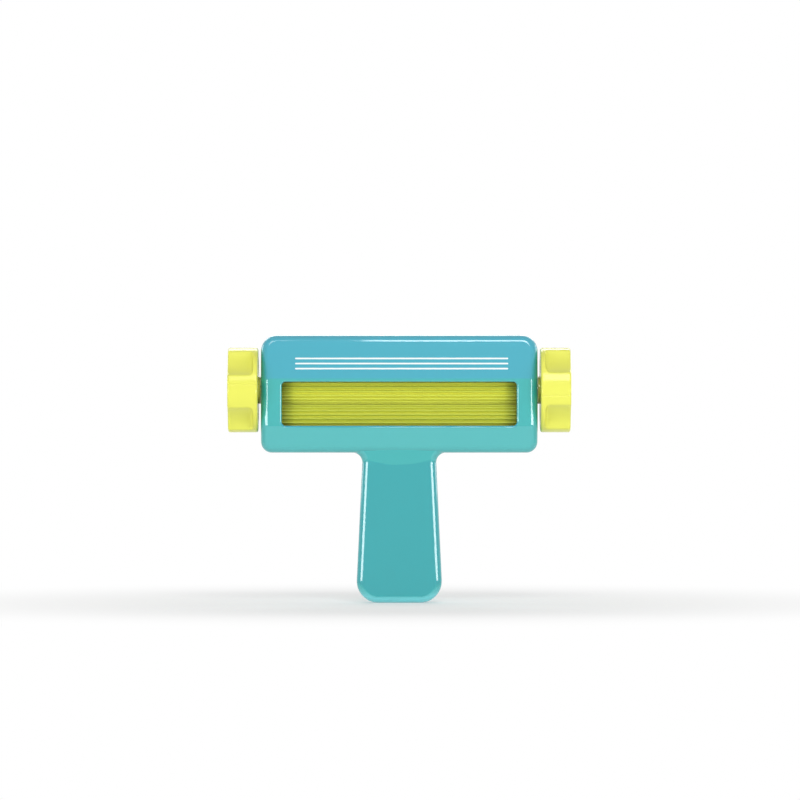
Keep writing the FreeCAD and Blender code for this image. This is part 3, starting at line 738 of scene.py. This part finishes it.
def wall_between(shape, rings):
    """Joins each ring of points to the next one with a belt of faces."""
    for ring, following in zip(rings, rings[1:]):
        for index in range(len(ring)):
            nearby = (index + 1) % len(ring)
            shape.faces.new((ring[index], ring[nearby], following[nearby], following[index]))


def close_ends(shape, rings):
    shape.faces.new(rings[0])
    shape.faces.new(rings[-1])


def knob_shape(height, x_hub, x_in, x_out):
    """A closed knob on the right-hand end, from its hub to the floor of its cap recess."""
    shape = bmesh.new()
    hub = [(x, round_points(HUB_RADIUS)) for x in (x_hub, x_in)]
    grip = [(x_in + along, knob_points(along, depth)) for along, depth in stations(x_out - x_in)]
    recess = [(x_out, round_points(RECESS_RADIUS + RECESS_CHAMFER))]
    recess += [(x_out - depth, round_points(RECESS_RADIUS)) for depth in (RECESS_CHAMFER, RECESS_DEPTH)]
    rings = [ring_of(shape, x, points, height) for x, points in hub + grip + recess]
    wall_between(shape, rings)
    close_ends(shape, rings)
    bmesh.ops.recalc_face_normals(shape, faces=shape.faces)
    return shape


# %% [markdown]
# ## Cored lobes
#
# A thick lump of plastic shrinks as it cools and leaves sink marks, so a moulder cores the lobes out from
# the side that faces the body. The round pockets are cut with a Boolean modifier: one cutter made of several
# pegs is simpler than working out the faces round every hole by hand.

# %% Cut the pockets
POCKET_RADIUS = 4.2 * MM
POCKET_CIRCLE = 13.0 * MM
POCKET_DEPTH = 11.0 * MM
POCKET_SIDES = 64
PEG_OVERSHOOT = 1.0 * MM


def pocket_pegs(height, x_start, x_end):
    pegs = bmesh.new()
    for lobe in range(LOBES):
        angle = FRONT_LOBE + lobe * LOBE_STEP
        across = POCKET_CIRCLE * math.cos(angle)
        centre = Vector(((x_start + x_end) / 2, across, height + POCKET_CIRCLE * math.sin(angle)))
        place = Matrix.Translation(centre) @ Matrix.Rotation(math.pi / 2, 4, "Y")
        bmesh.ops.create_cone(
            pegs, cap_ends=True, segments=POCKET_SIDES, radius1=POCKET_RADIUS, radius2=POCKET_RADIUS,
            depth=x_end - x_start, matrix=place,
        )
    return linked_object("pocket_pegs", pegs)


def cut_away(piece, cutter):
    """Cuts one object out of another, keeps the result, and throws the cutter away."""
    cut = piece.modifiers.new("cut", "BOOLEAN")
    cut.operation = "DIFFERENCE"
    cut.solver = "EXACT"
    cut.object = cutter
    view = bpy.context.evaluated_depsgraph_get()
    piece.data = bpy.data.meshes.new_from_object(piece.evaluated_get(view))
    piece.modifiers.clear()
    bpy.data.objects.remove(cutter)


print("each knob gets", LOBES, "pockets", round(POCKET_DEPTH / MM), "mm deep")

# %% [markdown]
# ## Two ends of one shaft
#
# Both knobs are the same moulding, turned end for end. So each is made for the right-hand end, and the left
# one is then swung half round the upright axis. A mirror would be wrong: it would make a second, left-handed
# moulding.

# %% Place both knobs
HALF_TURN = Matrix.Rotation(math.pi, 3, "Z")


def end_piece(side, node, name, shape, finish):
    """A piece made for the right-hand end of the shaft, put in its place at either end."""
    if side == "left":
        bmesh.ops.rotate(shape, cent=(0, 0, 0), matrix=HALF_TURN, verts=shape.verts)
    return stand_in(node, name, shape, finish)


def knob_piece(side):
    node = side + "_knob"
    x_hub, x_out = reach_along_x(node)
    x_in = x_hub + HUB_LENGTH
    height = axis_height("drive_roller")
    blank = linked_object("knob_blank", knob_shape(height, x_hub, x_in, x_out))
    cut_away(blank, pocket_pegs(height, x_in - PEG_OVERSHOOT, x_in + POCKET_DEPTH))
    shape = bmesh.new()
    shape.from_mesh(blank.data)
    bpy.data.objects.remove(blank)
    return end_piece(side, node, side + "_lobed_knob", shape, knob_plastic)


for side in ("left", "right"):
    knob_piece(side)

# %% [markdown]
# ## The caps
#
# A disc snaps into the end of each knob and hides the screw. A disc is a turned shape: half of its section,
# spun round the axis. The section has a softly rounded edge and a face that is domed by a fraction of a
# millimetre, so that its reflection is not a dead flat one.

# %% Spin the caps
CAP_RADIUS = 13.0 * MM
CAP_RING_LENGTH = 1.6 * MM
CAP_EDGE = 0.5 * MM
CAP_DOME = 0.12 * MM
DOME_SHARES = (0.8, 0.55, 0.3, 0.1, 0.0)


def spun_disc(height, section):
    """A closed disc from (x, radius) pairs; the first and last are on the axis."""
    shape = bmesh.new()
    rings = [ring_of(shape, x, round_points(radius), height) for x, radius in section[1:-1]]
    wall_between(shape, rings)
    for (x, _), ring in ((section[0], rings[0]), (section[-1], rings[-1])):
        tip = shape.verts.new((x, 0.0, height))
        for index in range(len(ring)):
            shape.faces.new((ring[index - 1], ring[index], tip))
    bmesh.ops.recalc_face_normals(shape, faces=shape.faces)
    return shape


def cap_piece(side):
    node = side + "_knob_cap"
    x_ring, x_out = reach_along_x(node)
    x_in = x_ring + CAP_RING_LENGTH
    edge = [(x_out - along, CAP_RADIUS - depth) for along, depth in reversed(quarter_round(CAP_EDGE))]
    dome = [(x_out + CAP_DOME * (1 - share**2), CAP_RADIUS * share) for share in DOME_SHARES]
    section = [(x_in, 0.0), (x_in, CAP_RADIUS)] + edge + dome
    shape = spun_disc(axis_height("drive_roller"), section)
    return end_piece(side, node, side + "_cap_disc", shape, cap_plastic)


for side in ("left", "right"):
    cap_piece(side)

# %% [markdown]
# ## The printed stripes
#
# Three thin white lines run across the sloping face above the window. They could be painted by the material,
# but a line about a millimetre wide soon goes soft when a surface is turned into a picture. Real ink has a
# thickness, so each line is a very thin ribbon with round ends. Its points are found by casting rays at the
# shell, so that it lies on the plastic wherever the slope takes it.

# %% Lay the ribbons on the shell
STRIPE_HEIGHTS = (127.1 * MM, 129.85 * MM, 132.6 * MM)
STRIPE_MIDDLE = 1.3 * MM
STRIPE_HALF_LENGTH = 57.7 * MM
STRIPE_HALF_WIDTH = 0.42 * MM
TIP_STEPS = 6
INK_THICKNESS = 0.04 * MM
IN_FRONT = -100.0 * MM
BACKWARDS = Vector((0, 1, 0))
shell_surface = BVHTree.FromObject(front_shell, bpy.context.evaluated_depsgraph_get())


def on_front(x, z, above):
    """The point of the front shell in line with x and z, raised a little above the plastic."""
    point, normal, _, _ = shell_surface.ray_cast(Vector((x, IN_FRONT, z)), BACKWARDS)
    return point + normal * above


def ribbon_section(x, half_width, height):
    inked = [on_front(x, height + half_width * share, INK_THICKNESS) for share in (-1, 0, 1)]
    buried = [on_front(x, height + half_width * share, -INK_THICKNESS) for share in (1, 0, -1)]
    return inked + buried


def ribbon_stations():
    """(x, share of the full width) along a ribbon with round ends, from left to right."""
    turns = [math.pi / 2 * index / TIP_STEPS for index in range(1, TIP_STEPS + 1)]
    shares = [math.sin(turn) for turn in turns]
    reaches = [STRIPE_HALF_LENGTH - STRIPE_HALF_WIDTH * (1 - math.cos(turn)) for turn in turns]
    left = [(STRIPE_MIDDLE - reach, share) for reach, share in zip(reaches, shares)]
    right = [(STRIPE_MIDDLE + reach, share) for reach, share in zip(reaches, shares)]
    return left + right[::-1]


# %% Close the ribbons into one printed piece
def add_ribbon(shape, height):
    loops = []
    for x, share in ribbon_stations():
        section = ribbon_section(x, STRIPE_HALF_WIDTH * share, height)
        loops.append([shape.verts.new(point) for point in section])
    wall_between(shape, loops)
    close_ends(shape, loops)


shape = bmesh.new()
for height in STRIPE_HEIGHTS:
    add_ribbon(shape, height)
bmesh.ops.recalc_face_normals(shape, faces=shape.faces)
stripes = new_piece("printed_stripes", shape, stripe_ink, "housing")
print(stripes.name, "has", len(stripes.data.polygons), "faces")

# %% [markdown]
# ## A floor without an edge
#
# The tool stands on the flat end of its handle, on a white floor that seems to have no far edge. Brighter
# lamps would whiten the floor and bleach the tool with it. Instead the floor is pale by its own colour near
# the tool, where its shadow falls, and far away it turns into the same even white as the world behind it.
# Only rays that go straight to the eye, or that come off something shiny, see this white: the light that
# falls on the tool stays as it is.

# %% What the eye sees directly
def seen_by_the_eye(finish):
    return finish.node("ShaderNodeLightPath", output="Is Camera Ray")


def seen_in_a_gloss(finish):
    mirrored = finish.node("ShaderNodeLightPath", output="Is Glossy Ray")
    return mirrored + finish.node("ShaderNodeLightPath", output="Is Transmission Ray")


def fading_in(finish, span, least):
    """Rises softly with the distance from the middle of the floor, from the least value to 1."""
    away = length_of(finish, own_place(finish))
    sockets = {"Value": away, "From Min": span[0], "From Max": span[1], "To Min": least}
    return finish.node("ShaderNodeMapRange", {"interpolation_type": "SMOOTHSTEP"}, sockets)


try_out("what a gloss sees", seen_in_a_gloss)

# %% The floor
FLOOR_SIDE = 24.0
FLOOR_DROP = 0.05 * MM
EYE_FADE = (60.0 * MM, 350.0 * MM)
GLOSS_FADE = (0.0, 200.0 * MM)


def floor_finish():
    finish = Finish("pale_floor")
    eye = fading_in(finish, EYE_FADE, least=0.35) * seen_by_the_eye(finish)
    gloss = fading_in(finish, GLOSS_FADE, least=0.75) * seen_in_a_gloss(finish)
    paper = finish.node("ShaderNodeBsdfDiffuse", {}, {"Color": PAPER_WHITE})
    glow = finish.node("ShaderNodeEmission", {}, {"Color": WHITE, "Strength": 1.0})
    looks = finish.node("ShaderNodeMixShader", {}, {0: eye + gloss, 1: paper, 2: glow})
    finish.node("ShaderNodeOutputMaterial", {}, {"Surface": looks})
    return finish.material


shape = bmesh.new()
bmesh.ops.create_grid(shape, x_segments=1, y_segments=1, size=FLOOR_SIDE / 2)
floor = linked_object("studio_floor", shape)
floor.data.materials.append(floor_finish())
floor.location.z = -FLOOR_DROP
floor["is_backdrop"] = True
print(floor.name, "is", FLOOR_SIDE, "m across and lies", FLOOR_DROP / MM, "mm under the handle")

# %% The world behind it
WORLD_LIGHT = 0.22
sky = Finish("studio_world", "worlds")
lit = sky.node("ShaderNodeBackground", {}, {"Color": WHITE, "Strength": WORLD_LIGHT})
white = sky.node("ShaderNodeBackground", {}, {"Color": WHITE, "Strength": 1.0})
seen = seen_by_the_eye(sky) + seen_in_a_gloss(sky)
both = sky.node("ShaderNodeMixShader", {}, {0: seen, 1: lit, 2: white})
sky.node("ShaderNodeOutputWorld", {}, {"Surface": both})
bpy.context.scene.world = sky.material
print(sky.material.name, "lights the tool with a strength of", WORLD_LIGHT)

# %% [markdown]
# ## Lamps
#
# Glossy plastic is lit for its reflections. A rounded edge turns through every direction, so somewhere along
# its curve it mirrors a lamp, and a soft lamp there becomes a clean bright line. The camera is far away,
# which settles where the lamps go: an upright edge mirrors only what lies at its own height, and a level
# edge only what lies as far to the left or right as itself. So two low boxes draw the lines down the handle
# and the ends of the head, and two boxes above the camera draw the line along the top, with a gap between
# them. Nothing stands straight in front, because the flat faces would mirror it as a glare. A long strip and
# two more boxes light the back and the sides.

# %% Soft boxes
HEAD_MIDDLE = (0.0, 0.0, 0.11)


def soft_box(name, place, wide, tall, watts, target=HEAD_MIDDLE):
    """A flat lamp, its sides in metres, that faces a target and stays out of the picture."""
    lamp = bpy.data.lights.new(name, "AREA")
    lamp.shape = "RECTANGLE"
    lamp.size = wide
    lamp.size_y = tall
    lamp.energy = watts
    box = bpy.data.objects.new(name, lamp)
    box.location = place
    box.rotation_euler = (Vector(target) - Vector(place)).to_track_quat("-Z", "Y").to_euler()
    box.visible_camera = False
    bpy.context.scene.collection.objects.link(box)
    print(name, "gives", watts, "W")


soft_box("left_box", (-0.80, -0.89, 0.085), wide=0.70, tall=0.17, watts=3.65)
soft_box("right_box", (0.80, -0.89, 0.085), wide=0.70, tall=0.17, watts=3.7)
soft_box("left_shoulder", (-0.245, -0.92, 0.76), wide=0.31, tall=0.30, watts=1.2)
soft_box("top_strip", (0.133, -0.92, 0.79), wide=0.32, tall=0.44, watts=4.2, target=(0.133, 0.0, 0.11))
soft_box("back_strip", (0.0, 0.92, 0.76), wide=1.5, tall=0.30, watts=6.5)
soft_box("left_rear_box", (-0.85, 0.40, 0.30), wide=0.45, tall=0.45, watts=1.8)
soft_box("right_rear_box", (0.85, 0.40, 0.30), wide=0.45, tall=0.45, watts=1.8)

# %% [markdown]
# ## Camera
#
# The view is square to the front, from the height of the window and from three metres away. A long lens
# brings the tool close without bending it: a short lens near by would show the inner faces of both knobs and
# make the knobs look larger than the head.

# %% Camera and colour
CAMERA_PLACE = (0.4 * MM, -3000.0 * MM, 110.1 * MM)
SENSOR_WIDTH = 36.0
LENS_LENGTH = 248.2
camera = bpy.data.objects.new("portrait_camera", bpy.data.cameras.new("portrait_camera"))
camera.data.sensor_width = SENSOR_WIDTH
camera.data.lens = LENS_LENGTH
camera.location = CAMERA_PLACE
camera.rotation_euler = (math.pi / 2, 0.0, 0.0)
bpy.context.scene.collection.objects.link(camera)
bpy.context.scene.camera = camera
bpy.context.scene.view_settings.view_transform = "Standard"
print("camera:", round(math.degrees(camera.data.angle), 1), "degrees across")

# %% [markdown]
# ## Last measurements
#
# The looks must not change the size of the tool, so the box round everything is printed beside the box
# of the solids.

# %% Print both boxes
dressed_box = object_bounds()
for name, box in (("solids", solid_box), ("dressed", dressed_box)):
    print(name, [[round(value / MM, 2) for value in corner] for corner in box])
